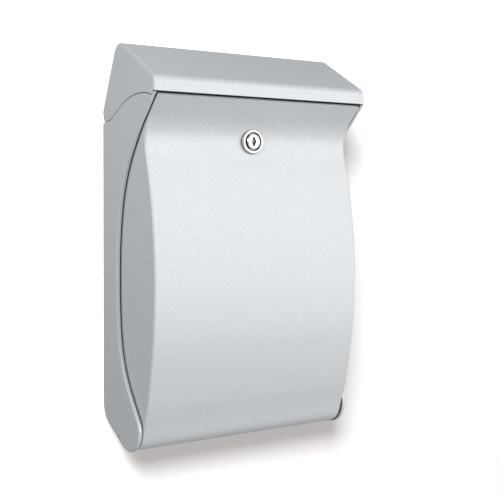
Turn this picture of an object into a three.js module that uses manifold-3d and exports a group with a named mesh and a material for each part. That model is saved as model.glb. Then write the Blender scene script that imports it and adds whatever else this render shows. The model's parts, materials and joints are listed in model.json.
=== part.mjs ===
// Wall mounted mailbox: a pressed steel casing with a slanted letter lid and a wave-shaped lockable door.
//
// Row frame, in millimetres: X runs across the box and is 0 in its middle, the wall is the plane Y = 0,
// the box stands out of it towards -Y, and Z is up. The origin is the middle of the face on the wall.
// Side outlines are drawn as (depth from the wall, height above the lowest point) and extruded across X.
import * as THREE from "three";
import { mergeVertices } from "three/addons/utils/BufferGeometryUtils.js";
import Module from "manifold-3d";

// ---------------------------------------------------------------- driving dimensions

const WIDTH = 260; // across the casing cheeks and the lid
const HEIGHT = 409.5; // lowest point of the casing to the top of the lid
const DEPTH = 112.5; // wall to the front lip of the lid
const SHEET = 1.2; // steel sheet of every folded panel
const WELD_GAP = 0.3; // between panels that are welded or fastened face to face
const WALL_FACE_HEIGHT = 190; // the origin, above the lowest point

const CASING_TOP = 0.8083 * HEIGHT; // top edge of the back panel
const BACK_ROUND = 25; // round where the back panel turns into the sloping floor
const BACK_ROUND_HEIGHT = 41.6; // its centre
const FLOOR_SETBACK = 8.3; // floor's front edge behind the end of the chin's round
const CHIN_RADIUS = 24; // round of the casing cheeks at the bottom, around the door hinge
const LIP_WIDTH = 4.4; // inturned lip along the front edge of each casing cheek
const SLOT_GAP = 0.7; // open line between lid and casing

const DOOR_INSET = 5.2; // outer face of a casing cheek to the outer face of a door cheek
const DOOR_CHIN_INSET = 1; // the door's chin stays this much inside the casing's round
const DOOR_CHIN_END = -130; // degrees, where the chin ends under the box
const DOOR_OVERLAP = 3; // door cheek behind the casing's front edge

const LID_CORNER_RADIUS = 9.4; // round of the lid around its own hinge
const LID_PIVOT_DEPTH = 10;
const LID_PIVOT_ABOVE_CASING = 11;
const LID_TOP_RADIUS = 13;
const LID_TOP_DEPTH = 39; // centre of the top round
const LID_FRONT_RADIUS = 9;
const LID_FRONT_BELOW_TOP = 45.2; // centre of the front round below the top of the lid
const LID_LIP_BOTTOM = 0.8684 * HEIGHT; // lower edge of the lid's front lip
const LID_SHEET_END = 215; // degrees around the hinge, where the lid's back sheet ends

const INNER_PLATE_INSET = 1.9; // inner side plate inside the lid's outline
const INNER_PLATE_BOTTOM = CASING_TOP - 31;
const INNER_PLATE_ROUND_END = 245; // degrees around the lid hinge, past the sweep of the lid's back sheet
const LID_SWEEP_GAP = 1; // inner side plates to the path of the lid's front lip

const LOCK_HEIGHT = 0.7619 * HEIGHT;
const LOCK_COLLAR_RADIUS = 12.5;
const LOCK_COLLAR_TAPER = 1.6; // the collar narrows by this much towards its front
const LOCK_BODY_RADIUS = 9.5;
const LOCK_PLUG_RADIUS = 7.2;
const LOCK_TAIL_RADIUS = 4;
const LOCK_BODY_LENGTH = 17.6; // door face to the cam
const LOCK_STAND_OUT = 6; // door face to the front of the cylinder
const LOCK_NUT_THICKNESS = 3.2;
const LOCK_NUT_RADIUS = 12.4;
const KEYWAY_HEIGHT = 9.6;
const KEYWAY_WIDTH = 2.2;
const KEYWAY_DEPTH = 12;
const CAM_THICKNESS = 2;
const CAM_HUB_RADIUS = 8;
const CAM_TIP_RADIUS = 6;
const CAM_REACH = 16; // hinge of the cam to the centre of its round tip
const CAM_GAP = 1.2; // cam to the rail that it hooks behind
const CAM_SCREW_RADIUS = 1.6;
const CAM_SCREW_HEAD = 4.2;

const RAIL_ABOVE_LOCK = 1.5; // the web's lower edge above the lock body
const RAIL_WEB = 15; // height of the rail's upright web
const RAIL_TAB = 12; // length of the tabs at the rail's ends
const RAIL_FRONT_SETBACK = 3.7; // front edge of the rail behind the door's top edge
const RAIL_FRONT_RISE = 1.1;

const PIN_RADIUS = 3;
const PIN_LENGTH = 9.2;
const BUSH_WALL = 1.4;
const BUSH_FLANGE = 3; // flange beyond the sleeve
const RUNNING_GAP = 0.3;
const CLIP_THICKNESS = 0.9;
const CLIP_WIDTH = 2.6;

const STOP_ARM = 40; // door hinge to the stop pin
const STOP_ARM_ANGLE = 77; // degrees behind upright, with the door shut
const STOP_EYE = 8; // round of the door cheek around the stop pin
const RIVET_HEAD = 3.6;
const HEAD_THICKNESS = 1.1; // of the stop pins' inner heads

const WALL_HOLE_RADIUS = 3.5;
const WALL_HOLE_SPACING_X = 160;
const WALL_HOLE_HEIGHTS = [90, CASING_TOP - 41];
const DRAIN_RADIUS = 3;
const DRAIN_SPACING = 140;

const ROUND_SIDES = 32; // sides of a full circle
const SCREW_RADIUS = 2;
const SCREW_HEAD = 4;
const SCREW_HEAD_HEIGHT = 1.9;

// ---------------------------------------------------------------- outlines in (depth, height)

const halfWidth = WIDTH / 2;
const point = (depth, height) => new THREE.Vector2(depth, height);
const share = ([depth, height]) => point(depth * DEPTH, height * HEIGHT);
const polar = (centre, radius, degrees) => {
  const angle = THREE.MathUtils.degToRad(degrees);
  return point(centre.x + radius * Math.cos(angle), centre.y + radius * Math.sin(angle));
};

function arc(centre, radius, from, to) {
  const steps = Math.max(2, Math.ceil((Math.abs(to - from) / 360) * ROUND_SIDES));
  const points = [];
  for (let i = 0; i <= steps; i++) points.push(polar(centre, radius, from + ((to - from) * i) / steps));
  return points;
}

// A path clockwise around a row of circles, joined by their outer tangents.
function aroundCircles(circles, from, to) {
  const points = [];
  let angle = from;
  circles.forEach((circle, i) => {
    const next = circles[i + 1];
    let end = to;
    if (next) {
      const way = next.centre.clone().sub(circle.centre);
      const tilt = Math.acos((circle.radius - next.radius) / way.length());
      end = THREE.MathUtils.radToDeg(Math.atan2(way.y, way.x) + tilt);
      while (end > angle) end -= 360;
      while (end < angle - 360) end += 360;
    }
    points.push(...arc(circle.centre, circle.radius, angle, end));
    angle = end;
  });
  return points;
}

const smooth = (points, pieces) => new THREE.SplineCurve(points).getPoints(pieces);

// The path moved sideways by a distance, to the right of its direction of travel.
function offsetPath(points, distance) {
  return points.map((here, i) => {
    const before = points[i - 1] ?? here.clone().multiplyScalar(2).sub(points[i + 1]);
    const after = points[i + 1] ?? here.clone().multiplyScalar(2).sub(before);
    const first = here.clone().sub(before).normalize();
    const second = after.clone().sub(here).normalize();
    const normal = point(first.y + second.y, -first.x - second.x).normalize();
    const mitre = normal.dot(point(first.y, -first.x));
    return here.clone().addScaledVector(normal, distance / mitre);
  });
}

const sheetAlong = (points, thickness) => [...points, ...offsetPath(points, thickness).reverse()];

// The depth at which an upward path reaches a height.
function depthAt(points, height) {
  const i = points.findIndex((p, n) => n > 0 && p.y >= height && points[n - 1].y < height);
  const [low, high] = [points[i - 1], points[i]];
  return low.x + ((high.x - low.x) * (height - low.y)) / (high.y - low.y);
}

const doorPivot = point(0.498 * DEPTH, CHIN_RADIUS);
const lidPivot = point(LID_PIVOT_DEPTH, CASING_TOP + LID_PIVOT_ABOVE_CASING);

const chinCircle = { centre: doorPivot, radius: CHIN_RADIUS };
const backCircle = { centre: point(BACK_ROUND, BACK_ROUND_HEIGHT), radius: BACK_ROUND };

// Door front, from the chin's end under the box, round the chin and up the wave to the top edge.
const doorChinRadius = CHIN_RADIUS - DOOR_CHIN_INSET;
const doorWave = smooth(
  [
    polar(doorPivot, doorChinRadius, 0),
    ...[
      [0.731, 0.076],
      [0.788, 0.12],
      [0.84, 0.187],
      [0.896, 0.283],
      [0.921, 0.391],
      [0.917, 0.476],
      [0.882, 0.576],
      [0.823, 0.667],
      [0.77, 0.72],
      [0.75, 0.755],
      [0.769, 0.784],
      [0.83, 0.815],
      [0.98, 0.86],
    ].map(share),
  ],
  44,
);
const doorFront = [...arc(doorPivot, doorChinRadius, DOOR_CHIN_END, 0), ...doorWave.slice(1)];
const doorTop = doorFront.at(-1);

// Front edge of the casing cheeks, from the chin up to the nose under the lid.
const casingEdge = smooth(
  [
    polar(doorPivot, CHIN_RADIUS, 0),
    ...[
      [0.685, 0.081],
      [0.562, 0.126],
      [0.452, 0.17],
      [0.373, 0.217],
      [0.318, 0.28],
      [0.293, 0.366],
      [0.293, 0.464],
      [0.318, 0.545],
      [0.372, 0.62],
      [0.462, 0.684],
      [0.58, 0.738],
      [0.726, 0.791],
      [0.866, 0.831],
      [0.985, 0.866],
    ].map(share),
  ],
  44,
);

// Line where the lid's ends meet the casing cheeks, from the back to the front.
const topSeam = smooth(
  [
    point(LID_PIVOT_DEPTH, lidPivot.y - LID_CORNER_RADIUS - SLOT_GAP / 2),
    ...[
      [0.18, 0.815],
      [0.304, 0.833],
      [0.44, 0.852],
      [0.6, 0.864],
      [0.74, 0.8675],
      [0.86, 0.8655],
      [0.945, 0.859],
    ].map(share),
  ],
  24,
);

const lidCircles = (inset) => [
  { centre: lidPivot, radius: LID_CORNER_RADIUS - inset },
  { centre: point(LID_TOP_DEPTH, HEIGHT - LID_TOP_RADIUS), radius: LID_TOP_RADIUS - inset },
  {
    centre: point(DEPTH - LID_FRONT_RADIUS, HEIGHT - LID_FRONT_BELOW_TOP),
    radius: LID_FRONT_RADIUS - inset,
  },
];

// ---------------------------------------------------------------- geometry helpers

const wasm = await Module();
wasm.setup();

function toSolid(geometry) {
  const plain = geometry.index ? geometry.toNonIndexed() : geometry.clone();
  plain.deleteAttribute("normal");
  plain.deleteAttribute("uv");
  const merged = mergeVertices(plain, 1e-4);
  return new wasm.Manifold(
    new wasm.Mesh({
      numProp: 3,
      vertProperties: merged.attributes.position.array,
      triVerts: new Uint32Array(merged.index.array),
    }),
  );
}

function toGeometry(solid) {
  const mesh = solid.getMesh();
  const geometry = new THREE.BufferGeometry();
  geometry.setAttribute("position", new THREE.BufferAttribute(mesh.vertProperties, 3));
  geometry.setIndex(new THREE.BufferAttribute(mesh.triVerts, 1));
  return geometry;
}

const join = (first, ...more) =>
  toGeometry(more.reduce((solid, piece) => solid.add(toSolid(piece)), toSolid(first)));
const cut = (first, ...tools) =>
  toGeometry(tools.reduce((solid, tool) => solid.subtract(toSolid(tool)), toSolid(first)));
const common = (first, second) => toGeometry(toSolid(first).intersect(toSolid(second)));

// A side outline extruded across X, between two distances from the middle, on one side (+1 or -1).
function across(outline, near, far, side = 1, holes = []) {
  const shape = new THREE.Shape(outline);
  shape.holes = holes.map((hole) => new THREE.Path(hole));
  const geometry = new THREE.ExtrudeGeometry(shape, { depth: far - near, bevelEnabled: false });
  const basis = new THREE.Matrix4().makeBasis(
    new THREE.Vector3(0, -1, 0),
    new THREE.Vector3(0, 0, 1),
    new THREE.Vector3(-1, 0, 0),
  );
  return geometry.applyMatrix4(basis).translate(side > 0 ? far : -near, 0, 0);
}

const fullWidth = (outline, half) => across(outline, -half, half);
const circle = (centre, radius) => arc(centre, radius, 0, 360).slice(0, -1);

// A turned piece: [radius, distance] pairs round an axis. A hollow one closes on its first pair.
function turned(pairs) {
  const hollow = pairs[0][0] > 0;
  const profile = (hollow ? [...pairs, pairs[0]] : pairs).map(([radius, along]) => point(radius, along));
  return new THREE.LatheGeometry(profile, ROUND_SIDES);
}

const ring = (inner, outer, from, to) => turned([[inner, from], [outer, from], [outer, to], [inner, to]]);
const rod = (radius, from, to) => turned([[0, from], [radius, from], [radius, to], [0, to]]);

// Turned pieces lie along X on one side, through a point of the side outline.
const alongX = (geometry, side, at) => geometry.rotateZ((-side * Math.PI) / 2).translate(0, -at.x, at.y);
// Pieces of the lock lie along the depth, in the middle of the door.
const alongDepth = (geometry) => geometry.rotateZ(Math.PI).translate(0, 0, LOCK_HEIGHT);

// ---------------------------------------------------------------- materials and assembly

const finish = (colour, roughness, metalness) =>
  new THREE.MeshStandardMaterial({ color: colour, roughness, metalness });
const powderCoat = finish(0xc9cdd1, 0.45, 0.35);
const chrome = finish(0xe4e6e8, 0.12, 1);
const zinc = finish(0xb9bbb8, 0.35, 0.9);
const nylon = finish(0xe9e7e0, 0.5, 0);

const mailbox = new THREE.Group();
mailbox.position.z = -WALL_FACE_HEIGHT;

function add(name, geometry, material) {
  const mesh = new THREE.Mesh(geometry, material);
  mesh.name = name;
  mailbox.add(mesh);
}

const SIDES = [
  ["left", -1],
  ["right", 1],
];

// ---------------------------------------------------------------- casing

const cheekInner = halfWidth - SHEET;
const doorHalf = halfWidth - DOOR_INSET;
const lipInner = halfWidth - LIP_WIDTH;
const plateOuter = cheekInner - WELD_GAP;
const plateInner = plateOuter - SHEET;
const railHalf = plateInner - WELD_GAP;

// Back panel and sloping floor, one folded sheet.
const floorAngle = THREE.MathUtils.radToDeg(
  Math.atan2(backCircle.centre.y - chinCircle.centre.y, backCircle.centre.x - chinCircle.centre.x) +
    Math.acos((CHIN_RADIUS - BACK_ROUND) / chinCircle.centre.distanceTo(backCircle.centre)),
);
const floorTangent = polar(doorPivot, CHIN_RADIUS, floorAngle);
const backTangent = polar(backCircle.centre, BACK_ROUND, floorAngle);
const floorWay = backTangent.clone().sub(floorTangent);
// The door's chin turns in front of the floor's edge, so the floor stops short of the chin's circle.
const floorStop = FLOOR_SETBACK / floorWay.length();
const floorEdge = floorTangent.clone().addScaledVector(floorWay, floorStop);
const backPath = [
  floorEdge,
  ...arc(backCircle.centre, BACK_ROUND, floorAngle, 180),
  point(0, CASING_TOP),
];
const wallHoles = WALL_HOLE_HEIGHTS.flatMap((height) =>
  SIDES.map(([, side]) =>
    rod(WALL_HOLE_RADIUS, -SHEET * 3, SHEET * 3).translate((side * WALL_HOLE_SPACING_X) / 2, 0, height),
  ),
);
const drainDepth = (floorEdge.x + backTangent.x) / 2;
const drains = SIDES.map(([, side]) =>
  rod(DRAIN_RADIUS, -CHIN_RADIUS, CHIN_RADIUS)
    .rotateX(Math.PI / 2)
    .translate((side * DRAIN_SPACING) / 2, -drainDepth, CHIN_RADIUS / 2),
);
add(
  "casing_back_and_floor",
  cut(fullWidth(sheetAlong(backPath, SHEET), plateOuter), ...wallHoles, ...drains),
  powderCoat,
);

// Casing cheeks with their inturned front lips.
const frontPath = [...arc(doorPivot, CHIN_RADIUS, floorAngle - 360, 0), ...casingEdge.slice(1)];
const cheekOutline = [
  ...backPath.slice(1),
  ...offsetPath(topSeam, SLOT_GAP / 2),
  ...frontPath.slice().reverse(),
];
const lipPath = frontPath.filter((p) => p.y < doorTop.y - DOOR_OVERLAP);
for (const [name, side] of SIDES) {
  const plate = across(cheekOutline, cheekInner, halfWidth, side);
  const lip = across(sheetAlong(lipPath, -SHEET), lipInner, cheekInner + SHEET / 2, side);
  add(`casing_${name}_cheek`, join(plate, lip), powderCoat);
}

// ---------------------------------------------------------------- lock places and top rail

const lockSeat = depthAt(doorWave, LOCK_HEIGHT);
const camFront = lockSeat - LOCK_BODY_LENGTH;
const railWebBack = camFront + CAM_GAP;
const railWebBottom = LOCK_HEIGHT + LOCK_BODY_RADIUS + RAIL_ABOVE_LOCK;
const railPath = [
  point(railWebBack + SHEET, railWebBottom),
  point(railWebBack + SHEET, railWebBottom + RAIL_WEB),
  point(doorTop.x - RAIL_FRONT_SETBACK, doorTop.y + RAIL_FRONT_RISE),
];
const railScrewAt = point(railWebBack - RAIL_TAB / 2, railWebBottom + RAIL_WEB / 2);
const railTab = [
  point(railWebBack - RAIL_TAB, railWebBottom),
  point(railWebBack + SHEET / 2, railWebBottom),
  point(railWebBack + SHEET / 2, railWebBottom + RAIL_WEB),
  point(railWebBack - RAIL_TAB, railWebBottom + RAIL_WEB),
];
const screwHole = [circle(railScrewAt, SCREW_RADIUS + RUNNING_GAP)];
add(
  "top_cross_rail",
  join(
    fullWidth(sheetAlong(railPath, -SHEET), railHalf),
    ...SIDES.map(([, side]) => across(railTab, railHalf - SHEET, railHalf, side, screwHole)),
  ),
  powderCoat,
);

// ---------------------------------------------------------------- inner side plates, lid hinge

const lidReach = Math.hypot(DEPTH - SHEET - lidPivot.x, LID_LIP_BOTTOM - lidPivot.y);
const lidSweep = lidReach - LID_SWEEP_GAP;
const plateRound = LID_CORNER_RADIUS - INNER_PLATE_INSET;
const plateBack = LID_PIVOT_DEPTH - PIN_RADIUS;
const plateLid = aroundCircles(lidCircles(INNER_PLATE_INSET), INNER_PLATE_ROUND_END, 0);
const plateEdge = offsetPath(casingEdge, -SHEET - RUNNING_GAP * 3).filter((p) => p.y > INNER_PLATE_BOTTOM);
const plateOutline = [
  point(plateBack, INNER_PLATE_BOTTOM),
  point(plateBack, lidPivot.y - Math.sqrt(plateRound ** 2 - PIN_RADIUS ** 2)),
  ...plateLid,
  point(plateLid.at(-1).x, plateEdge.at(-1).y),
  ...plateEdge.reverse(),
];
const bushRadius = PIN_RADIUS + RUNNING_GAP + BUSH_WALL;
for (const [name, side] of SIDES) {
  const holes = [circle(lidPivot, bushRadius + RUNNING_GAP), ...screwHole];
  const plate = across(plateOutline, plateInner, plateOuter, side, holes);
  const room = across(circle(lidPivot, lidSweep), plateInner - 1, plateOuter + 1, side);
  add(`${name}_inner_side_plate`, common(plate, room), powderCoat);

  const bushBack = plateInner - WELD_GAP;
  const bush = turned([
    [PIN_RADIUS + RUNNING_GAP, bushBack - SHEET],
    [bushRadius + BUSH_FLANGE, bushBack - SHEET],
    [bushRadius + BUSH_FLANGE, bushBack],
    [bushRadius, bushBack],
    [bushRadius, plateOuter],
    [PIN_RADIUS + RUNNING_GAP, plateOuter],
  ]);
  add(`${name}_lid_hinge_bush`, alongX(bush, side, lidPivot), nylon);

  const screwSeat = railHalf - SHEET - WELD_GAP;
  const screw = turned([
    [0, screwSeat - SCREW_HEAD_HEIGHT],
    [SCREW_HEAD * 0.8, screwSeat - SCREW_HEAD_HEIGHT],
    [SCREW_HEAD, screwSeat],
    [SCREW_RADIUS, screwSeat],
    [SCREW_RADIUS, plateOuter],
    [0, plateOuter],
  ]);
  add(`${name}_rail_screw`, alongX(screw, side, railScrewAt), zinc);
}

// ---------------------------------------------------------------- lid

const lidSkin = [...aroundCircles(lidCircles(0), LID_SHEET_END, 0), point(DEPTH, LID_LIP_BOTTOM)];
add("lid_top_panel", fullWidth(sheetAlong(lidSkin, SHEET), plateOuter), powderCoat);

const lidSeam = offsetPath(topSeam, -SLOT_GAP / 2);
const lidEndOutline = [
  ...aroundCircles(lidCircles(0), 270, 0),
  point(DEPTH, LID_LIP_BOTTOM),
  ...lidSeam.slice(1).reverse(),
];
const pinEnd = cheekInner - WELD_GAP;
for (const [name, side] of SIDES) {
  add(`lid_${name}_end`, across(lidEndOutline, cheekInner, halfWidth, side), powderCoat);
  add(`${name}_lid_hinge_pin`, alongX(rod(PIN_RADIUS, pinEnd - PIN_LENGTH, pinEnd), side, lidPivot), zinc);
  const clipEnd = plateInner - WELD_GAP * 2 - SHEET;
  const clip = ring(PIN_RADIUS + RUNNING_GAP / 2, PIN_RADIUS + CLIP_WIDTH, clipEnd - CLIP_THICKNESS, clipEnd);
  add(`${name}_lid_pin_clip`, alongX(clip, side, lidPivot), zinc);
}

// ---------------------------------------------------------------- door

const lockHole = alongDepth(rod(LOCK_BODY_RADIUS + RUNNING_GAP, 0, DEPTH));
const doorPanel = fullWidth(sheetAlong(doorFront, -SHEET), doorHalf - SHEET - WELD_GAP);
add("door_front_panel", cut(doorPanel, lockHole), powderCoat);

const stopAt = polar(doorPivot, STOP_ARM, 90 + STOP_ARM_ANGLE);
const doorRear = offsetPath(casingEdge, -DOOR_OVERLAP).filter(
  (p) => p.y > doorPivot.y + STOP_ARM * 1.9 && p.y < doorTop.y - DOOR_OVERLAP * 3,
);
const doorHeel = point(doorRear[0].x, doorPivot.y);
const doorCheekOutline = [...doorFront, ...doorRear.reverse(), doorHeel];
const armOutline = aroundCircles(
  [
    { centre: doorPivot, radius: doorChinRadius - SHEET * 2 },
    { centre: stopAt, radius: STOP_EYE },
    { centre: doorPivot, radius: doorChinRadius - SHEET * 2 },
  ],
  -60,
  -360,
);
const doorHingeHole = rod(bushRadius + RUNNING_GAP, 0, halfWidth);
const doorStopHole = rod(SCREW_RADIUS + RUNNING_GAP, 0, halfWidth);
for (const [name, side] of SIDES) {
  const cheek = join(
    across(doorCheekOutline, doorHalf - SHEET, doorHalf, side),
    across(armOutline, doorHalf - SHEET, doorHalf, side),
  );
  const holes = [
    alongX(doorHingeHole.clone(), side, doorPivot),
    alongX(doorStopHole.clone(), side, stopAt),
  ];
  add(`door_${name}_cheek`, cut(cheek, ...holes), powderCoat);

  // The bush sits in the cheek, and its flange keeps the cheek clear of the casing.
  const bush = turned([
    [PIN_RADIUS + RUNNING_GAP, doorHalf - SHEET - 1],
    [bushRadius, doorHalf - SHEET - 1],
    [bushRadius, doorHalf + WELD_GAP],
    [bushRadius + BUSH_FLANGE, doorHalf + WELD_GAP],
    [bushRadius + BUSH_FLANGE, cheekInner - WELD_GAP * 2],
    [PIN_RADIUS + RUNNING_GAP, cheekInner - WELD_GAP * 2],
  ]);
  add(`${name}_door_hinge_bush`, alongX(bush, side, doorPivot), nylon);
  add(`${name}_door_hinge_pin`, alongX(rod(PIN_RADIUS, pinEnd - PIN_LENGTH, pinEnd), side, doorPivot), zinc);
  const clipEnd = doorHalf - SHEET - 1 - RUNNING_GAP;
  const clip = ring(PIN_RADIUS + RUNNING_GAP / 2, PIN_RADIUS + CLIP_WIDTH, clipEnd - CLIP_THICKNESS, clipEnd);
  add(`${name}_door_pin_clip`, alongX(clip, side, doorPivot), zinc);

  // A shouldered rivet: its thick end runs between the cheeks and stops on the casing's lip.
  const stop = turned([
    [0, doorHalf - SHEET - WELD_GAP - HEAD_THICKNESS],
    [RIVET_HEAD, doorHalf - SHEET - WELD_GAP - HEAD_THICKNESS],
    [RIVET_HEAD, doorHalf - SHEET - WELD_GAP],
    [SCREW_RADIUS, doorHalf - SHEET - WELD_GAP],
    [SCREW_RADIUS, doorHalf + WELD_GAP],
    [PIN_RADIUS, doorHalf + WELD_GAP],
    [PIN_RADIUS, cheekInner - WELD_GAP * 2],
    [0, cheekInner - WELD_GAP * 2],
  ]);
  add(`${name}_door_stop_pin`, alongX(stop, side, stopAt), zinc);
}

// ---------------------------------------------------------------- lock

const lockFront = lockSeat + LOCK_STAND_OUT;
const housingRim = 0.9;
const behindDoor = fullWidth(
  [...offsetPath(doorWave, WELD_GAP), point(0, doorTop.y), point(0, doorPivot.y)],
  LOCK_COLLAR_RADIUS * 1.5,
);
const collar = turned([
  [LOCK_BODY_RADIUS + RUNNING_GAP, lockSeat - SHEET],
  [LOCK_COLLAR_RADIUS, lockSeat - SHEET],
  [LOCK_COLLAR_RADIUS, lockSeat + LOCK_STAND_OUT / 3],
  [LOCK_COLLAR_RADIUS - LOCK_COLLAR_TAPER, lockFront],
  [LOCK_BODY_RADIUS + RUNNING_GAP, lockFront],
]);
add("lock_collar", cut(alongDepth(collar), behindDoor), chrome);

const plugBore = LOCK_PLUG_RADIUS + RUNNING_GAP;
const housing = turned([
  [plugBore, camFront + RUNNING_GAP],
  [LOCK_BODY_RADIUS, camFront + RUNNING_GAP],
  [LOCK_BODY_RADIUS, lockFront - housingRim],
  [plugBore, lockFront - housingRim],
]);
add("lock_housing", alongDepth(housing), chrome);

const besideLock = doorWave.filter((p) => Math.abs(p.y - LOCK_HEIGHT) < LOCK_NUT_RADIUS * 1.5);
const nutFront = Math.min(...besideLock.map((p) => p.x)) - SHEET - RUNNING_GAP;
const nut = new THREE.CylinderGeometry(LOCK_NUT_RADIUS, LOCK_NUT_RADIUS, LOCK_NUT_THICKNESS, 6);
nut.translate(0, nutFront - LOCK_NUT_THICKNESS / 2, 0);
const nutHole = rod(LOCK_BODY_RADIUS + RUNNING_GAP, 0, DEPTH);
add("lock_nut", alongDepth(cut(nut, nutHole)), zinc);

const plugFront = lockFront - housingRim;
const camBack = camFront - CAM_THICKNESS;
const tailEnd = camBack - RUNNING_GAP;
const plug = turned([
  [0, tailEnd],
  [LOCK_TAIL_RADIUS, tailEnd],
  [LOCK_TAIL_RADIUS, camFront + RUNNING_GAP],
  [LOCK_PLUG_RADIUS, camFront + RUNNING_GAP],
  [LOCK_PLUG_RADIUS, plugFront],
  [0, plugFront],
]);
const keySlot = new THREE.BoxGeometry(KEYWAY_WIDTH, KEYWAY_DEPTH, KEYWAY_HEIGHT);
keySlot.translate(0, plugFront - KEYWAY_DEPTH / 2 + 1, 0);
const keyRound = rod(KEYWAY_WIDTH * 0.85, plugFront - KEYWAY_DEPTH + 1, plugFront + 1);
const threadHole = rod(CAM_SCREW_RADIUS + RUNNING_GAP, tailEnd - 1, tailEnd + 8);
add("lock_plug", alongDepth(cut(plug, keySlot, keyRound, threadHole)), chrome);

// The cam points to one side, unlocked. A quarter turn brings it up behind the rail.
const camShape = new THREE.Shape(
  aroundCircles(
    [
      { centre: point(0, 0), radius: CAM_HUB_RADIUS },
      { centre: point(-CAM_REACH, 0), radius: CAM_TIP_RADIUS },
      { centre: point(0, 0), radius: CAM_HUB_RADIUS },
    ],
    0,
    -360,
  ),
);
camShape.holes = [new THREE.Path(circle(point(0, 0), LOCK_TAIL_RADIUS + RUNNING_GAP))];
const cam = new THREE.ExtrudeGeometry(camShape, { depth: CAM_THICKNESS, bevelEnabled: false });
add("lock_cam", cam.rotateX(Math.PI / 2).translate(0, -camBack, LOCK_HEIGHT), zinc);

const screwHead = tailEnd - RUNNING_GAP;
const camScrew = turned([
  [0, screwHead - 2],
  [CAM_SCREW_HEAD, screwHead - 2],
  [CAM_SCREW_HEAD, screwHead],
  [CAM_SCREW_RADIUS, screwHead],
  [CAM_SCREW_RADIUS, tailEnd + 6],
  [0, tailEnd + 6],
]);
add("lock_cam_screw", alongDepth(camScrew), zinc);

export default mailbox;
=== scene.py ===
"""Looks of a wall mounted mailbox: pressed steel skins, a cam lock and small hardware."""

import json
import math

import bmesh
import bpy
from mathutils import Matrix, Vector
from mathutils.geometry import delaunay_2d_cdt


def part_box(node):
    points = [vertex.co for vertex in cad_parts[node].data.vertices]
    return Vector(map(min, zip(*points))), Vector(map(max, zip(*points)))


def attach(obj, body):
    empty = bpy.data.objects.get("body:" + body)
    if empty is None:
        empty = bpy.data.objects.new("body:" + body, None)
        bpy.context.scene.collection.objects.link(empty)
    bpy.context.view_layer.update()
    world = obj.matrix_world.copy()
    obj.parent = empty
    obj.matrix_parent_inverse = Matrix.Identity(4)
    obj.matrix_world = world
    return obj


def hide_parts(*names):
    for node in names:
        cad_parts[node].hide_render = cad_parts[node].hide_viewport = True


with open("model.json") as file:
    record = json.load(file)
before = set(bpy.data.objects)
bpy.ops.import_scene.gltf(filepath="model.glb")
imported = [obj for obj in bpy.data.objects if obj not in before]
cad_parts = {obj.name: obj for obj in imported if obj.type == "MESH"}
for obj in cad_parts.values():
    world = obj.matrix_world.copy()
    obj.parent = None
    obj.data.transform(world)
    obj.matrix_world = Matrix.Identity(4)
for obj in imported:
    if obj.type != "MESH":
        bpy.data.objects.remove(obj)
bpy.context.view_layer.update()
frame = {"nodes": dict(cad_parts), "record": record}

MM = 0.001
SIDES = (("left", -1), ("right", 1))

# Sizes of the skins
SHEET = 1.2 * MM
FOLD = 2.6 * MM  # outer radius of a folded edge
RETURN = 1.5 * MM  # flat of the fold before the cheek or end begins
EDGE_ROUND = 0.35 * MM
DOOR_FOLD = 2.3 * MM
LID_FOLD = 1.9 * MM
LIP_FOLD = 1.5 * MM
LIP_GAP = 0.85 * MM  # the casing lips' inner edges, rounded back from the nodes'
FOLD_STEPS = 7
CORNER = math.radians(32)  # a sharper turn in an outline stays a corner
CURVE_STEPS = 4  # finer steps between two points of a smooth outline

EASE_PASSES = 60
CHIN_EASE = 18 * MM  # length over which the chin's bend runs softly into the wave
LOCK_SET_BACK = 2.0 * MM  # rim of the collar behind the front of its node
KEYWAY = ((3.0 * MM, 10.0 * MM), (5.8 * MM, 6.1 * MM))  # width and height of the slot and of its middle
KEYWAY_DEPTH = 11 * MM
COLLAR_CUT_REACH = 22 * MM  # the cutter behind the collar, above and below the lock
COLLAR_CUT_DEPTH = 30 * MM
COLLAR_CUT_HALF = 16 * MM
COLLAR_SEAT_GAP = 0.02 * MM

# Powder coat
POWDER_DARK = (0.66, 0.695, 0.725)
POWDER_LIGHT = (0.79, 0.825, 0.86)
POWDER_MIDDLE = (0.73, 0.765, 0.80)
POWDER_ROUGHNESS = 0.42
# near-black colour of the painted shade in gaps, slots and corners
PAINTED_SHADE_COLOUR = (0.02, 0.022, 0.024)
POWDER_METAL = 0.12

# Camera and light
CAMERA_AT = Vector((-0.5831, -0.9490, 0.0635))
CAMERA_YAW = math.radians(33.92)
CAMERA_PITCH = math.radians(0.8)
CAMERA_LENS = 71.93
CAMERA_SHIFT_Y = -0.0764
AMBIENT = 0.42
KEY_LEVEL = 0.92
KEY_AT = (0.6, -1.35, 0.30)
KEY_SIZE = 1.8
KEY_COLOUR = (1.0, 0.975, 0.955)
SIDE_AT = (-1.0, -0.45, 0.58)
SIDE_SIZE = 0.7
SIDE_LEVEL = 0.43
WALL_LEVEL = 1.35
WASH_AT = (-1.1, -1.5, 0.9)
WASH_SIZE = 0.7


# ------------------------------------------------------------------ outlines read from the frame


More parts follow.
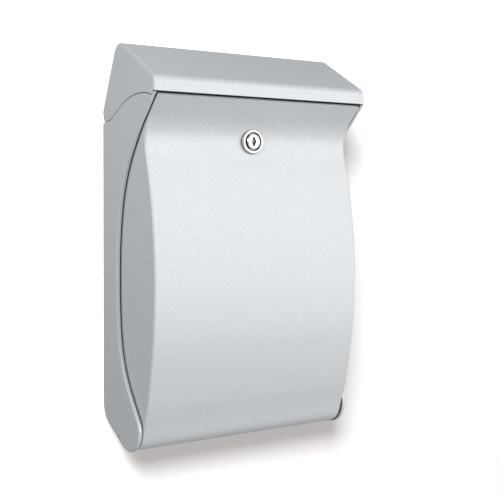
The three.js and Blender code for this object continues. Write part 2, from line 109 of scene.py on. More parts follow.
def loops_in_plane(node, axis, value):
    """Closed outlines of a node's flat face at one place along an axis, longest first, as 2D points.
    Across X they are (depth, height); across Y they are (x, height)."""
    mesh = frame["nodes"][node].data
    key = lambda v: tuple(round(c, 6) for c in v)
    edges = {}
    for face in mesh.polygons:
        corners = [key(mesh.vertices[i].co) for i in face.vertices]
        if any(abs(c[axis] - value) > 2e-5 for c in corners):
            continue
        for a, b in zip(corners, corners[1:] + corners[:1]):
            if (b, a) in edges:
                del edges[(b, a)]
            else:
                edges[(a, b)] = True
    follow = {}
    for a, b in edges:
        follow.setdefault(a, []).append(b)
    loops = []
    while follow:
        start = next(iter(follow))
        loop, here = [start], follow[start].pop()
        while here != start:
            loop.append(here)
            here = follow[here].pop()
        follow = {a: b for a, b in follow.items() if b}
        loops.append(loop)
    flat = (lambda p: Vector((-p[1], p[2]))) if axis == 0 else (lambda p: Vector((p[0], p[2])))
    loops = [[flat(p) for p in loop] for loop in loops]
    return sorted(loops, key=lambda loop: -sum((a - b).length for a, b in zip(loop, loop[1:])))


def turn(a, b, c):
    return abs((b - a).angle_signed(c - b, 0))


def tidy_loop(loop):
    """The loop without points that lie on a straight line or almost on another point."""
    loop = [p for i, p in enumerate(loop) if (p - loop[i - 1]).length > 2e-5]
    n = len(loop)
    return [p for i, p in enumerate(loop) if turn(loop[i - 1], p, loop[(i + 1) % n]) > 1e-4]


def finer(points, closed=False):
    """Smooth runs of the outline with more points on them. Corners and straight lines stay."""
    n = len(points)

    def tangent(i):
        before = points[i] - points[i - 1] if closed or i > 0 else None
        after = points[(i + 1) % n] - points[i] if closed or i < n - 1 else None
        if before is None or after is None:
            return None
        if abs(before.angle_signed(after, 0)) > CORNER:
            return None
        way = before * before.length + after * after.length
        return way.normalized()

    tangents = [tangent(i) for i in range(n)]
    out = []
    for i in range(n if closed else n - 1):
        a, b = points[i], points[(i + 1) % n]
        chord = b - a
        ta = tangents[i] or chord.normalized()
        tb = tangents[(i + 1) % n] or chord.normalized()
        for k in range(CURVE_STEPS):
            t = k / CURVE_STEPS
            h = (2 * t**3 - 3 * t**2 + 1, t**3 - 2 * t**2 + t, -2 * t**3 + 3 * t**2, t**3 - t**2)
            out.append(a * h[0] + ta * chord.length * h[1] + b * h[2] + tb * chord.length * h[3])
            if chord.length < 0.4 * MM:
                break
    if not closed:
        out.append(points[-1].copy())
    return out


def eased(path, at, reach):
    """The path with the bend near one place softened, most where the path is closest to it."""
    out = [p.copy() for p in path]
    for _ in range(EASE_PASSES):
        last = [p.copy() for p in out]
        for i in range(1, len(path) - 1):
            share = max(0.0, 1 - (path[i] - at).length / reach)
            out[i] = last[i].lerp((last[i - 1] + last[i + 1]) / 2, share)
    return out


def strip_path(node):
    """Outer path of a folded sheet, from its side outline, which is one long thin loop. Its direction is
    such that normals() point from the outer face to the inner one."""
    loop = tidy_loop(loops_in_plane(node, 0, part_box(node)[1].x)[0])
    n = len(loop)
    ends = [i for i in range(n) if (loop[(i + 1) % n] - loop[i]).length < 1.3 * SHEET
            and turn(loop[i - 1], loop[i], loop[(i + 1) % n]) > 1.2
            and turn(loop[i], loop[(i + 1) % n], loop[(i + 2) % n]) > 1.2]
    first, second = ends[0], ends[1]
    one = [loop[i % n] for i in range(first + 1, second + 1)]
    other = [loop[i % n] for i in range(second + 1, first + 1 + n)]
    outer, inner = (one, other) if run_length(one) > run_length(other) else (other, one)
    middle = len(outer) // 2
    probe = outer[middle] + normals(outer)[middle] * SHEET
    if min((probe - p).length for p in inner) > min((outer[middle] * 2 - probe - p).length for p in inner):
        outer.reverse()
    return outer


def run_length(run):
    return sum((a - b).length for a, b in zip(run, run[1:]))


def normals(path):
    """Inward normals of a path, to its right or left so that they point at the box's inside."""
    out = []
    for i in range(len(path)):
        before = path[i] - path[i - 1] if i else path[1] - path[0]
        after = path[i + 1] - path[i] if i < len(path) - 1 else before
        way = before.normalized() + after.normalized()
        normal = Vector((way.y, -way.x)).normalized()
        out.append(normal / max(0.5, normal.dot(Vector((after.y, -after.x)).normalized())))
    return out


# ------------------------------------------------------------------ mesh helpers


def link(name, mesh):
    piece = bpy.data.objects.new(name, mesh)
    bpy.context.scene.collection.objects.link(piece)
    return piece


def row(x, flat):
    return Vector((x, -flat.x, flat.y))


def bake(piece):
    """The piece with its modifiers applied."""
    graph = bpy.context.evaluated_depsgraph_get()
    made = bpy.data.meshes.new_from_object(piece.evaluated_get(graph))
    piece.modifiers.clear()
    piece.data = made
    return piece


def finish_piece(piece, body, nodes, material):
    if piece.modifiers:
        bake(piece)
    mesh = piece.data
    mesh.materials.clear()
    mesh.materials.append(material)
    mesh.shade_smooth()
    mesh.set_sharp_from_angle(angle=CORNER)
    weighted = piece.modifiers.new("weighted", "WEIGHTED_NORMAL")
    weighted.weight, weighted.keep_sharp = 60, True
    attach(piece, body)
    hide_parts(*nodes)
    return piece


def mark_free(bm, free):
    """Marks the border edges between free vertices, for thicken() to round."""
    layer = bm.edges.layers.float.new("bevel_weight_edge")
    chosen = set(free)
    for edge in bm.edges:
        if len(edge.link_faces) == 1 and edge.verts[0] in chosen and edge.verts[1] in chosen:
            edge[layer] = 1.0


def thicken(piece):
    """Gives a skin its sheet thickness, inwards, and rounds the edges that mark_free() marked."""
    solid = piece.modifiers.new("sheet", "SOLIDIFY")
    solid.thickness, solid.offset = SHEET, -1
    solid.use_even_offset = False
    bevel = piece.modifiers.new("edges", "BEVEL")
    bevel.width, bevel.segments, bevel.limit_method = EDGE_ROUND, 2, "WEIGHT"
    return bake(piece)


def cut_round(piece, cutters):
    """Cuts round holes: each cutter is (centre, direction, radius, length)."""
    for centre, direction, radius, length in cutters:
        bm = bmesh.new()
        bmesh.ops.create_cone(bm, cap_ends=True, segments=48, radius1=radius, radius2=radius, depth=length)
        mesh = bpy.data.meshes.new("cutter")
        bm.to_mesh(mesh)
        bm.free()
        tool = link("cutter", mesh)
        tool.rotation_mode = "QUATERNION"
        tool.rotation_quaternion = Vector(direction).to_track_quat("Z", "Y")
        tool.location = centre
        boolean = piece.modifiers.new("hole", "BOOLEAN")
        boolean.object, boolean.operation, boolean.solver = tool, "DIFFERENCE", "MANIFOLD"
        bpy.context.view_layer.update()
        bake(piece)
        bpy.data.objects.remove(tool)
    return piece


def roll(half, fold, last):
    """Places across X of one folded edge, from the flat side to the front face: (x, inset from the path)."""
    side = [(half, fold + RETURN), (half, fold + RETURN / 2)]
    for k in range(FOLD_STEPS + 1):
        angle = math.pi / 2 * (1 - k / FOLD_STEPS)
        side.append((half - fold + fold * math.sin(angle), fold * (1 - math.cos(angle))))
    return side + [(last, 0.0)] if last is not None else side


def grid(bm, path, inward, columns, scales=None):
    """A surface that follows a path: one row of vertices for each of its points."""
    scales = scales or [1.0] * len(path)
    rows = [[bm.verts.new(row(x, p + n * (d * k))) for x, d in columns]
            for p, n, k in zip(path, inward, scales)]
    for a, b in zip(rows, rows[1:]):
        for j in range(len(columns) - 1):
            bm.faces.new((a[j], a[j + 1], b[j + 1], b[j]))
    return rows


def room_behind(p, n, rest):
    """Thickness of a plate at a point of its folded edge, measured inwards to the plate's other edge."""
    there = [(q - p).length for q in rest
             if (q - p).length > 1e-6 and (q - p).normalized().dot(n.normalized()) > 0.7]
    return min(there, default=0.0 if min((q - p).length for q in rest) < 12 * MM else 1.0)


def insets(path, inward, depth, rest=()):
    """For each point of a path, how much of a fold's depth fits there: the fold neither meets itself nor
    reaches half way to the plate's other edge, where one is given."""
    fits = []
    for p, n in zip(path, inward):
        k = 1.0
        if rest:
            k = min(1.0, max(0.03, 0.45 * room_behind(p, n, rest) / depth))
        while k > 0.1 and min((p + n * (depth * k) - q).length for q in path) < 0.96 * depth * k:
            k -= 0.05
        fits.append(k)
    reach = 4
    low = [min(fits[max(0, i - reach):i + reach + 1]) for i in range(len(fits))]
    near = [low[max(0, i - reach):i + reach + 1] for i in range(len(fits))]
    return [sum(part) / len(part) for part in near]


def outward(bm, at, inward):
    """Turns all faces so that they look away from the inside of the box."""
    bmesh.ops.recalc_face_normals(bm, faces=bm.faces)
    bm.normal_update()
    probe = min(bm.faces, key=lambda f: (f.calc_center_median() - at).length)
    if probe.normal.dot(inward) > 0:
        bmesh.ops.reverse_faces(bm, faces=bm.faces)


def made(name, bm):
    mesh = bpy.data.meshes.new(name)
    bm.to_mesh(mesh)
    bm.free()
    return thicken(link(name, mesh))


def folded_sheet(name, path, half, fold, rest=(), across=12):
    """A sheet that follows a path, with both side edges folded in, and the path of the folds' ends."""
    inward = normals(path)
    side = roll(half, fold, None)
    inner = half - fold
    middle = [(-inner + 2 * inner * k / across, 0.0) for k in range(1, across)]
    columns = [(-x, d) for x, d in side] + middle + [(x, d) for x, d in reversed(side)]
    bm = bmesh.new()
    scales = insets(path, inward, fold + RETURN, rest)
    rows = grid(bm, path, inward, columns, scales)
    mark_free(bm, rows[0] + rows[-1])
    m = len(path) // 2
    outward(bm, row(0, path[m]), row(0, inward[m]))
    return made(name, bm), [p + n * (fold + RETURN) * k for p, n, k in zip(path, inward, scales)]


def fill(bm, verts, outline):
    """Triangles that fill a closed outline, between the vertices that stand on it."""
    ring = [(k, (k + 1) % len(outline)) for k in range(len(outline))]
    points, _, faces, origins, _, _ = delaunay_2d_cdt(outline, ring, [], 1, 1e-7)
    x = verts[0].co.x
    corners = [verts[origin[0]] if origin else bm.verts.new(row(x, p)) for p, origin in zip(points, origins)]
    for face in faces:
        if len({corners[i] for i in face}) == 3:
            bm.faces.new([corners[i] for i in face])


def plate(name, x, seam, rest):
    """A flat plate at one place across X: its seam lies along a folded sheet, the rest is a free edge."""
    bm = bmesh.new()
    first = [bm.verts.new(row(x, p)) for p in seam]
    others = [bm.verts.new(row(x, p)) for p in rest]
    fill(bm, first + others, list(seam) + list(rest))
    mark_free(bm, others + [first[0], first[-1]])
    bm.normal_update()
    face = max(bm.faces, key=lambda f: f.calc_area())
    if face.normal.x * x < 0:
        bmesh.ops.reverse_faces(bm, faces=bm.faces)
    return made(name, bm)


def between(loop, start, end):
    """The two ways round the loop from the point nearest to start to the point nearest to end, forward and
    backward, both ends included; the caller picks one."""
    n = len(loop)
    i = min(range(n), key=lambda k: (loop[k] - start).length)
    j = min(range(n), key=lambda k: (loop[k] - end).length)
    forward = [loop[k % n] for k in range(i, j + 1 if j >= i else j + n + 1)]
    backward = [loop[k % n] for k in range(i, (j - 1 if j <= i else j - n - 1), -1)]
    return forward, backward


def far_run(loop, start, end, path):
    """Of the two ways round a loop from start to end, the one that leaves the path."""
    off = lambda run: sum(min((p - q).length for q in path) for p in run) / len(run)
    forward, backward = between(loop, start, end)
    return forward if off(forward) > off(backward) else backward


def lathe(name, profile, centre, axis, steps=72):
    """A turned piece: (radius, place along the axis) pairs, outer faces outward. axis is "x" or "y"."""
    bm = bmesh.new()
    rings = []
    for radius, along in profile:
        if radius < 1e-7:
            rings.append([bm.verts.new(spun(0, 0, along, centre, axis))])
            continue
        turns = [2 * math.pi * k / steps for k in range(steps)]
        rings.append([bm.verts.new(spun(radius, t, along, centre, axis)) for t in turns])
    closed = len(rings[0]) > 1
    pairs = list(zip(rings, rings[1:])) + ([(rings[-1], rings[0])] if closed else [])
    for one, two in pairs:
        for k in range(steps):
            n = (k + 1) % steps
            if len(one) == 1:
                bm.faces.new((one[0], two[k], two[n]))
            elif len(two) == 1:
                bm.faces.new((one[k], two[0], one[n]))
            else:
                bm.faces.new((one[k], two[k], two[n], one[n]))
    bmesh.ops.recalc_face_normals(bm, faces=bm.faces)
    if bm.calc_volume(signed=True) < 0:
        bmesh.ops.reverse_faces(bm, faces=bm.faces)
    mesh = bpy.data.meshes.new(name)
    bm.to_mesh(mesh)
    bm.free()
    return link(name, mesh)


def spun(radius, angle, along, centre, axis):
    c, s = radius * math.cos(angle), radius * math.sin(angle)
    if axis == "x":
        return Vector((along, centre[1] + c, centre[2] + s))
    return Vector((centre[0] + c, along, centre[2] + s))


def refined(node, bevel=0.22 * MM):
    """A smoother copy of a node that is right in shape: clean faces and rounded edges."""
    bm = bmesh.new()
    bm.from_mesh(frame["nodes"][node].data)
    bmesh.ops.remove_doubles(bm, verts=bm.verts, dist=3e-6)
    bmesh.ops.dissolve_limit(bm, angle_limit=math.radians(1.5), verts=bm.verts, edges=bm.edges)
    sharp = [e for e in bm.edges if len(e.link_faces) == 2 and e.calc_face_angle(0) > CORNER]
    bmesh.ops.bevel(bm, geom=sharp, offset=bevel, segments=2, affect="EDGES", clamp_overlap=True)
    mesh = bpy.data.meshes.new(node)
    bm.to_mesh(mesh)
    bm.free()
    return link(node + "_skin", mesh)


# ------------------------------------------------------------------ materials


class Coat:
    """A procedural finish: small nodes joined up around one Principled shader."""

    def __init__(self, name):
        self.material = bpy.data.materials.new(name)
        self.material.use_nodes = True
        self.tree = self.material.node_tree
        self.tree.nodes.clear()
        out = self.add("ShaderNodeOutputMaterial")
        self.shader = self.add("ShaderNodeBsdfPrincipled")
        self.join(self.shader.outputs["BSDF"], out.inputs["Surface"])
        self.where = self.add("ShaderNodeTexCoord").outputs["Object"]

    def add(self, kind, **settings):
        node = self.tree.nodes.new(kind)
        for key, value in settings.items():
            setattr(node, key, value)
        return node

    def join(self, out, into):
        self.tree.links.new(out, into)

    def noise(self, per_metre, detail=2.0, rough=0.5, stretch=None):
        node = self.add("ShaderNodeTexNoise")
        node.inputs["Scale"].default_value = per_metre
        node.inputs["Detail"].default_value = detail
        node.inputs["Roughness"].default_value = rough
        if stretch:
            mapping = self.add("ShaderNodeMapping")
            mapping.inputs["Scale"].default_value = stretch
            self.join(self.where, mapping.inputs["Vector"])
            self.join(mapping.outputs["Vector"], node.inputs["Vector"])
        else:
            self.join(self.where, node.inputs["Vector"])
        return node.outputs["Fac"]

    def span(self, value, low, high, start=0.35, end=0.65):
        node = self.add("ShaderNodeMapRange")
        for key, number in (("From Min", start), ("From Max", end), ("To Min", low), ("To Max", high)):
            node.inputs[key].default_value = number
        self.join(value, node.inputs["Value"])
        return node.outputs["Result"]

    def mix(self, factor, one, two):
        node = self.add("ShaderNodeMix", data_type="RGBA")
        sockets = {s.identifier: s for s in node.inputs}
        for key, colour in (("A_Color", one), ("B_Color", two)):
            if isinstance(colour, tuple):
                sockets[key].default_value = (*colour, 1)
            else:
                self.join(colour, sockets[key])
        self.join(factor, sockets["Factor_Float"])
        return {s.identifier: s for s in node.outputs}["Result_Color"]

    def bump(self, height, distance, strength=1.0, under=None):
        node = self.add("ShaderNodeBump")
        node.inputs["Strength"].default_value = strength
        node.inputs["Distance"].default_value = distance
        self.join(height, node.inputs["Height"])
        if under is not None:
            self.join(under, node.inputs["Normal"])
        return node.outputs["Normal"]

    def painted_gap_shade(self, base, dark, reach):
        """The colour darkened where another surface is very near: painted shade in gaps, slots and corners,
        from an ambient occlusion mask.
        """
        near = self.add("ShaderNodeAmbientOcclusion", samples=8)
        near.inputs["Distance"].default_value = reach
        return self.mix(self.span(near.outputs["AO"], 0, 1, 0.40, 0.82), dark, base)

    def set(self, **values):
        for key, value in values.items():
            socket = self.shader.inputs[key.replace("_", " ")]
            if isinstance(value, (int, float)):
                socket.default_value = value
            else:
                self.join(value, socket)
        return self


def powder_coat():
    """Satin silver-grey powder coat: a fine grain, a faint orange peel and slightly uneven flow."""
    coat = Coat("powder_coat")
    grain = coat.noise(900, 3, 0.7)
    peel = coat.noise(260, 2, 0.5)
    flow = coat.noise(9, 3, 0.5)
    speck = coat.noise(2600, 1, 0.5)
    base = coat.mix(coat.span(grain, 0, 1), POWDER_DARK, POWDER_LIGHT)
    base = coat.mix(coat.span(flow, 0, 0.35), base, POWDER_MIDDLE)
    # painted shade: the coat darkens towards near-black in gaps, slots and corners, where another surface is
    # near
    base = coat.painted_gap_shade(base, PAINTED_SHADE_COLOUR, 3.5 * MM)
    low = coat.bump(peel, 0.05 * MM, 0.6)
    normal = coat.bump(grain, 0.06 * MM, 0.8, low)
    rough = coat.span(speck, POWDER_ROUGHNESS - 0.05, POWDER_ROUGHNESS + 0.06)
    coat.set(Base_Color=base, Roughness=rough, Metallic=POWDER_METAL, Normal=normal)
    return coat.material


def lock_chrome():
    """Polished plate with the faint rings of its turning."""
    coat = Coat("lock_chrome")
    haze = coat.noise(700, 2, 0.5)
    wave = coat.noise(60, 2, 0.5)
    base = coat.mix(coat.span(wave, 0, 1), (0.68, 0.69, 0.71), (0.74, 0.74, 0.75))
    # painted shade: the chrome darkens in the collar's groove and the keyway, where another surface is near
    base = coat.painted_gap_shade(base, PAINTED_SHADE_COLOUR, 2.5 * MM)
    normal = coat.bump(haze, 0.012 * MM, 0.5)
    coat.set(Base_Color=base, Roughness=coat.span(haze, 0.09, 0.17), Metallic=1.0, Normal=normal)
    return coat.material


def zinc_steel():
    """Zinc-plated steel: soft crystal patches, fine scratches and a slightly warm grey."""
    coat = Coat("zinc_steel")
    patch = coat.add("ShaderNodeTexVoronoi")
    patch.inputs["Scale"].default_value = 420
    coat.join(coat.where, patch.inputs["Vector"])
    scratch = coat.noise(300, 3, 0.6, (1, 1, 9))
    spread = coat.span(patch.outputs["Distance"], 0, 1, 0.1, 0.7)
    base = coat.mix(spread, (0.60, 0.61, 0.60), (0.69, 0.69, 0.66))
    normal = coat.bump(scratch, 0.02 * MM, 0.5)
    coat.set(Base_Color=base, Roughness=coat.span(scratch, 0.26, 0.42), Metallic=1.0, Normal=normal)
    return coat.material


def nylon():
    """Moulded natural nylon with a faint spark-eroded texture."""
    coat = Coat("nylon")
    cloud = coat.noise(90, 2, 0.5)
    texture = coat.noise(1800, 2, 0.5)
    base = coat.mix(coat.span(cloud, 0, 1), (0.72, 0.70, 0.64), (0.80, 0.78, 0.72))
    normal = coat.bump(texture, 0.02 * MM, 0.5)
    coat.set(Base_Color=base, Roughness=coat.span(texture, 0.42, 0.55), Normal=normal)
    coat.shader.inputs["Subsurface Weight"].default_value = 0.08
    coat.shader.inputs["Subsurface Radius"].default_value = (0.002, 0.002, 0.0015)
    return coat.material


POWDER, CHROME, ZINC, NYLON = powder_coat(), lock_chrome(), zinc_steel(), nylon()
FINISHES = {"powder_coat": POWDER, "lock_chrome": CHROME, "zinc_steel": ZINC, "nylon": NYLON}
SLOT_OF = {part["node"]: part["material_slot"] for part in frame["record"]["subparts"]}
BODY_OF = {n: body for body, nodes in frame["record"]["behaviour"]["bodies"].items() for n in nodes}


def done(piece, node):
    return finish_piece(piece, BODY_OF[node], (node,), FINISHES[SLOT_OF[node]])


# ------------------------------------------------------------------ casing


def inner_face(node, side):
    """Place across X of the face nearest the middle of a piece that stands on one side."""
    low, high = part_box(node)
    return low.x if side > 0 else high.x


def outer_face(node, side):
    low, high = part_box(node)
    return high.x if side > 0 else low.x


def shorter(loop, start, end):
    length = lambda run: sum((a - b).length for a, b in zip(run, run[1:]))
    return min(between(loop, start, end), key=length)


HALF = outer_face("casing_right_cheek", 1)
casing_path = finer(strip_path("casing_back_and_floor"))
cheek_loop = finer(tidy_loop(loops_in_plane("casing_right_cheek", 0, HALF)[0]), closed=True)
nose = max(cheek_loop, key=lambda p: p.x)
floor_end, back_top = casing_path[0], casing_path[-1]
front_run = far_run(cheek_loop, floor_end, nose, casing_path)
seam_run = [p for p in shorter(cheek_loop, nose, back_top)[1:-1] if p.x > FOLD + RETURN + 1 * MM]

ahead = next(i for i, p in enumerate(front_run) if p.x > floor_end.x + 1.5 * MM)
front_run = [floor_end] + front_run[ahead:]
front_run.reverse()
front_inward = normals(front_run)
front_fits = insets(front_run, front_inward, LIP_FOLD + RETURN, seam_run)


def holes(node, axis, value, direction, length):
    """Cutters for the round holes that a node has in one flat face."""
    found = []
    for loop in loops_in_plane(node, axis, value)[1:]:
        middle = sum(loop, Vector((0, 0))) / len(loop)
        radius = sum((p - middle).length for p in loop) / len(loop)
        centre = row(value, middle) if axis == 0 else Vector((middle.x, value, middle.y))
        found.append((centre, direction, radius, length))
    return found


casing_sheet, casing_seam = folded_sheet("casing_back_and_floor_skin", casing_path, HALF, FOLD)
wall_holes = holes("casing_back_and_floor", 1, 0.0, (0, 1, 0), 8 * MM)
floor_points = [v.co for v in frame["nodes"]["casing_back_and_floor"].data.vertices
                if v.co.z < floor_end.y + 60 * MM and abs(v.co.x) < HALF * 0.8 and abs(v.co.x) > HALF * 0.3]
drains = []
for _, side in SIDES:
    rim = [p for p in floor_points if p.x * side > 0]
    if rim:
        low = Vector([min(p[k] for p in rim) for k in range(3)])
        high = Vector([max(p[k] for p in rim) for k in range(3)])
        drains.append(((low + high) / 2, (0, 0, 1), (high.x - low.x) / 2, 12 * MM))
cut_round(casing_sheet, wall_holes + drains)
done(casing_sheet, "casing_back_and_floor")

for word, side in SIDES:
    node = f"casing_{word}_cheek"
    columns = [(side * x, d) for x, d in roll(HALF, LIP_FOLD, abs(inner_face(node, side)) + LIP_GAP)]
    bm = bmesh.new()
    rows = grid(bm, front_run, front_inward, columns, front_fits)
    back = [bm.verts.new(row(side * HALF, p)) for p in casing_seam[1:] + list(reversed(seam_run))]
    rim = [r[0] for r in rows] + back
    fill(bm, rim, [Vector((-v.co.y, v.co.z)) for v in rim])
    free = rows[0] + rows[-1] + [r[-1] for r in rows] + back[len(casing_seam) - 2:] + [rows[0][0]]
    mark_free(bm, free)
    m = len(front_run) // 2
    outward(bm, row(side * (HALF - 3 * MM), front_run[m]), row(0, front_inward[m]))
    done(made(node + "_skin", bm), node)

# ------------------------------------------------------------------ lid

lid_path = finer(strip_path("lid_top_panel"))
lid_sheet, lid_seam = folded_sheet("lid_top_panel_skin", lid_path, HALF, LID_FOLD)
done(lid_sheet, "lid_top_panel")
end_loop = finer(tidy_loop(loops_in_plane("lid_right_end", 0, HALF)[0]), closed=True)
end_rest = far_run(end_loop, lid_path[-1], lid_path[0], lid_path)[1:]
for word, side in SIDES:
    node = f"lid_{word}_end"
    done(plate(node + "_skin", side * HALF, lid_seam, end_rest), node)

# ------------------------------------------------------------------ door

DOOR_HALF = outer_face("door_right_cheek", 1)
door_path = finer(strip_path("door_front_panel"))
pivot_low, pivot_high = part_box("right_door_hinge_pin")
pivot_height = (pivot_low.z + pivot_high.z) / 2
chin_front = max((p for p in door_path if abs(p.y - pivot_height) < 3 * MM), key=lambda p: p.x)
door_path = eased(door_path, chin_front, CHIN_EASE)
door_loop = finer(tidy_loop(loops_in_plane("door_right_cheek", 0, DOOR_HALF)[0]), closed=True)
door_rest = far_run(door_loop, door_path[-1], door_path[0], door_path)[1:-1]
door_sheet, door_seam = folded_sheet("door_front_panel_skin", door_path, DOOR_HALF, DOOR_FOLD, door_rest)
low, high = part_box("lock_housing")
lock = Vector((0, low.y, (low.z + high.z) / 2))
body_radius = (high.x - low.x) / 2
cut_round(door_sheet, [(Vector((0, low.y, lock.z)), (0, 1, 0), body_radius + 0.3 * MM, 60 * MM)])
done(door_sheet, "door_front_panel")
for word, side in SIDES:
    node = f"door_{word}_cheek"
    piece = plate(node + "_skin", side * DOOR_HALF, door_seam, door_rest)
    cut_round(piece, holes(node, 0, side * DOOR_HALF, (1, 0, 0), 10 * MM))
    done(piece, node)

# ------------------------------------------------------------------ lock


def closed_cutter(near_corners, far_corners):
    """A closed cutter between two outlines with the same number of corners."""
    bm = bmesh.new()
    near = [bm.verts.new(corner) for corner in near_corners]
    far = [bm.verts.new(corner) for corner in far_corners]
    bm.faces.new(near)
    bm.faces.new(reversed(far))
    for k in range(len(near)):
        n = (k + 1) % len(near)
        bm.faces.new((near[k], far[k], far[n], near[n]))
    bmesh.ops.recalc_face_normals(bm, faces=bm.faces)
    mesh = bpy.data.meshes.new("cutter")
    bm.to_mesh(mesh)
    bm.free()
    return link("cutter", mesh)


def prism(outline, start, end):
    """A cutter: an outline in (x, height) drawn out along Y."""
    return closed_cutter([(p.x, start, p.y) for p in outline], [(p.x, end, p.y) for p in outline])


def cut_with(piece, tool):
    boolean = piece.modifiers.new("cut", "BOOLEAN")
    boolean.object, boolean.operation, boolean.solver = tool, "DIFFERENCE", "MANIFOLD"
    bpy.context.view_layer.update()
    bake(piece)
    bpy.data.objects.remove(tool)
    return piece


def capsule(width, height, centre, steps=10):
    """Outline of an upright slot with round ends, taller than it is wide."""
    r, h = width / 2, height / 2 - width / 2
    points = []
    for k in range(2 * steps + 2):
        angle = math.pi * (k if k <= steps else k - 1) / steps
        lift = h if k <= steps else -h
        points.append(centre + Vector((r * math.cos(angle), r * math.sin(angle) + lift)))
    return points


def scaled(pairs, y):
    """Profile pairs in millimetres, radius and distance behind the front, as (radius, y)."""
    return [(r * MM, y + d * MM) for r, d in pairs]


collar_low, collar_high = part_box("lock_collar")
collar_radius = (collar_high.x - collar_low.x) / 2 / MM
front = collar_low.y + LOCK_SET_BACK
back = (collar_high.y - front) / MM
bore = body_radius / MM + 0.3
collar = lathe("lock_collar_skin", scaled([
    (bore, back), (collar_radius, back), (collar_radius, 2.6), (collar_radius - 0.05, 2.3),
    (collar_radius - 0.5, 0.36), (collar_radius - 0.65, 0.1), (collar_radius - 0.9, 0.0),
    (collar_radius - 2.1, 0.0), (collar_radius - 2.32, 0.07), (collar_radius - 2.44, 0.25),
    (collar_radius - 2.5, 0.6), (collar_radius - 2.5, 2.4), (bore, 2.6),
], front), lock, "y", 96)
# The collar's back follows the door's curve: what would lie behind the door's face is cut away.
behind = [p for p in door_path if abs(p.y - lock.z) < COLLAR_CUT_REACH]
behind.sort(key=lambda p: p.y)
prism_sides = [Vector((p.x - COLLAR_SEAT_GAP, p.y)) for p in behind]
prism_sides += [Vector((p.x - COLLAR_CUT_DEPTH, p.y)) for p in (behind[-1], behind[0])]
cut_with(collar, closed_cutter([row(-COLLAR_CUT_HALF, p) for p in prism_sides],
                               [row(COLLAR_CUT_HALF, p) for p in prism_sides]))
done(collar, "lock_collar")

low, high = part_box("lock_housing")
length = (high.y - low.y) / MM
r = body_radius / MM
plug_low, plug_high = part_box("lock_plug")
plug_radius = (plug_high.x - plug_low.x) / 2 / MM
thread = []
turns = int((length - 10) / 1.0)
for k in range(turns):
    thread += [(r, 9.5 + k), (r - 0.45, 10.0 + k)]
housing = lathe("lock_housing_skin", scaled([
    (plug_radius + 0.22, 0.75), (plug_radius + 0.36, 0.5), (r - 1.75, 0.5), (r - 1.5, 0.8), (r - 1.5, 3.4),
    (r - 1.3, 3.8), (r - 0.2, 3.8), (r, 4.0), (r, 9.2),
    *thread, (r - 0.2, length), (plug_radius + 0.3, length),
], low.y), lock, "y")
done(housing, "lock_housing")

total = (plug_high.y - plug_low.y) / MM
tail = 4.0
shoulder = length - 0.1
plug = lathe("lock_plug_skin", scaled([
    (0, 0.30), (4.4, 0.26), (5.3, 0.12), (5.6, 0.05), (5.75, 0.4), (6.15, 0.4), (6.3, 0.03),
    (6.6, 0.0), (plug_radius - 0.25, 0.06),
    (plug_radius, 0.35), (plug_radius, shoulder), (tail, shoulder), (tail, total - 0.3),
    (tail - 0.3, total), (0, total),
], plug_low.y), lock, "y")
centre = Vector((0, lock.z))
for wide, tall in KEYWAY:
    cut_with(plug, prism(capsule(wide, tall, centre), plug_low.y - 1 * MM, plug_low.y + KEYWAY_DEPTH))
done(plug, "lock_plug")

# ------------------------------------------------------------------ rail, plates and small hardware

for node in frame["nodes"]:
    if SLOT_OF[node] == "powder_coat" and ("rail" in node or "inner" in node):
        done(refined(node, 0.3 * MM), node)
for node in ("lock_nut", "lock_cam", "lock_cam_screw"):
    done(refined(node, 0.35 * MM), node)
for word, _ in SIDES:
    for part in ("rail_screw", "lid_hinge_bush", "door_hinge_bush", "lid_hinge_pin", "door_hinge_pin",
                 "lid_pin_clip", "door_pin_clip", "door_stop_pin"):
        done(refined(f"{word}_{part}", 0.25 * MM), f"{word}_{part}")

# ------------------------------------------------------------------ camera, backdrop and light

scene = bpy.context.scene
camera = bpy.data.objects.new("camera", bpy.data.cameras.new("camera"))
scene.collection.objects.link(camera)
scene.camera = camera
camera.location = CAMERA_AT
camera.rotation_euler = (math.pi / 2 - CAMERA_PITCH, 0, -CAMERA_YAW)
camera.data.lens = CAMERA_LENS
camera.data.sensor_width = 36
camera.data.shift_y = CAMERA_SHIFT_Y
scene.view_settings.view_transform = "Standard"


def panel(name, centre, across, up):
    mesh = bpy.data.meshes.new(name)
    corners = [centre - across - up, centre + across - up, centre + across + up, centre - across + up]
    mesh.from_pydata([tuple(c) for c in corners], [], [(0, 1, 2, 3)])
    piece = link(name, mesh)
    return piece


def backdrop(name, colour, glow):
    """Painted plaster seen from its front only."""
    coat = Coat(name)
    mottle = coat.noise(6, 3, 0.5)
    base = coat.mix(coat.span(mottle, 0, 0.5), colour, tuple(c * 0.985 for c in colour))
    coat.set(Base_Color=base, Roughness=0.9)
    coat.shader.inputs["Emission Color"].default_value = (*glow, 1)
    coat.shader.inputs["Emission Strength"].default_value = 1.0
    facing = coat.add("ShaderNodeNewGeometry").outputs["Backfacing"]
    clear = coat.add("ShaderNodeBsdfTransparent")
    mixed = coat.add("ShaderNodeMixShader")
    out = next(n for n in coat.tree.nodes if n.type == "OUTPUT_MATERIAL")
    coat.join(facing, mixed.inputs[0])
    coat.join(coat.shader.outputs["BSDF"], mixed.inputs[1])
    coat.join(clear.outputs["BSDF"], mixed.inputs[2])
    coat.join(mixed.outputs["Shader"], out.inputs["Surface"])
    return coat.material


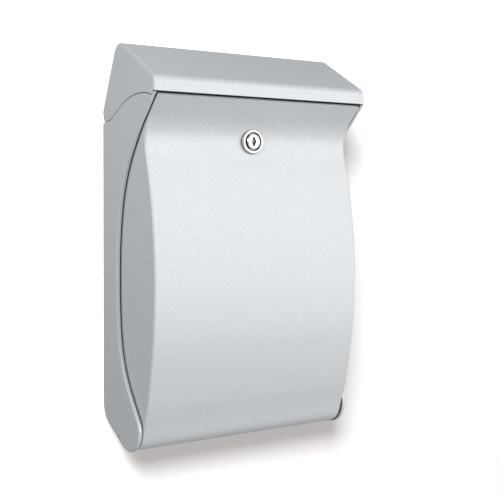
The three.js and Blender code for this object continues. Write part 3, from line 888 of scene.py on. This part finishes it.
wall = panel("wall", Vector((0, 0.0006, 0)), Vector((2.5, 0, 0)), Vector((0, 0, 2.0)))
wall.data.materials.append(backdrop("wall_paint", (0.93, 0.93, 0.93), (0.23, 0.205, 0.20)))
wall.visible_diffuse = wall.visible_glossy = wall.visible_shadow = wall.visible_transmission = False
floor = panel("floor", Vector((0, -1.5, -1.2)), Vector((3, 0, 0)), Vector((0, 3, 0)))
floor.data.materials.append(backdrop("floor_paint", (0.80, 0.80, 0.80), (0.0, 0.0, 0.0)))
floor.visible_shadow = False

world = bpy.data.worlds.new("studio")
scene.world = world
world.use_nodes = True
tree = world.node_tree
tree.nodes.clear()
out = tree.nodes.new("ShaderNodeOutputWorld")
path = tree.nodes.new("ShaderNodeLightPath")
white = tree.nodes.new("ShaderNodeBackground")
white.inputs["Strength"].default_value = 1.0
white.inputs["Color"].default_value = (1, 1, 1, 1)
room = tree.nodes.new("ShaderNodeBackground")
room.inputs["Strength"].default_value = AMBIENT
way = tree.nodes.new("ShaderNodeTexCoord")
split = tree.nodes.new("ShaderNodeSeparateXYZ")
ramp = tree.nodes.new("ShaderNodeValToRGB")
shift = tree.nodes.new("ShaderNodeMapRange")
shift.inputs["From Min"].default_value = -1
tree.links.new(way.outputs["Generated"], split.inputs["Vector"])
tree.links.new(split.outputs["Z"], shift.inputs["Value"])
tree.links.new(shift.outputs["Result"], ramp.inputs["Fac"])
stops = ((0.0, 0.10), (0.36, 0.38), (0.5, 0.85), (0.62, 0.6), (1.0, 0.35))
while len(ramp.color_ramp.elements) < len(stops):
    ramp.color_ramp.elements.new(0.5)
for element, (place, level) in zip(ramp.color_ramp.elements, stops):
    element.position = place
    element.color = (level * 0.985, level * 0.995, level, 1)
mixed = tree.nodes.new("ShaderNodeMixShader")
tree.links.new(ramp.outputs["Color"], room.inputs["Color"])
tree.links.new(path.outputs["Is Camera Ray"], mixed.inputs[0])
tree.links.new(room.outputs["Background"], mixed.inputs[1])
tree.links.new(white.outputs["Background"], mixed.inputs[2])
tree.links.new(mixed.outputs["Shader"], out.inputs["Surface"])


def area_light(name, place, target, size, level, colour=(1, 1, 1)):
    """A square area light. Level is the light it gives on a surface that faces it at the target."""
    data = bpy.data.lights.new(name, "AREA")
    data.shape, data.size = "SQUARE", size
    way = Vector(target) - Vector(place)
    data.energy = level * math.pi**2 * way.length_squared
    data.color = colour
    lamp = bpy.data.objects.new(name, data)
    scene.collection.objects.link(lamp)
    lamp.location = place
    lamp.rotation_euler = way.to_track_quat("-Z", "Y").to_euler()
    return lamp


def only_for(lamp, state, *targets):
    """Light linking: the lamp lights only these objects, or everything but these."""
    group = bpy.data.collections.new(lamp.name + "_link")
    for target in targets:
        group.objects.link(target)
    lamp.light_linking.receiver_collection = group
    for item in group.collection_objects:
        item.light_linking.link_state = state


key = area_light("key", KEY_AT, (0, -0.06, 0), KEY_SIZE, KEY_LEVEL, KEY_COLOUR)
only_for(key, "EXCLUDE", wall)
side = area_light("side", SIDE_AT, (0, -0.06, 0), SIDE_SIZE, SIDE_LEVEL)
only_for(side, "EXCLUDE", wall)
wash = area_light("wash", WASH_AT, (0.05, 0, -0.1), WASH_SIZE, WALL_LEVEL)
only_for(wash, "INCLUDE", wall)

bpy.context.view_layer.update()
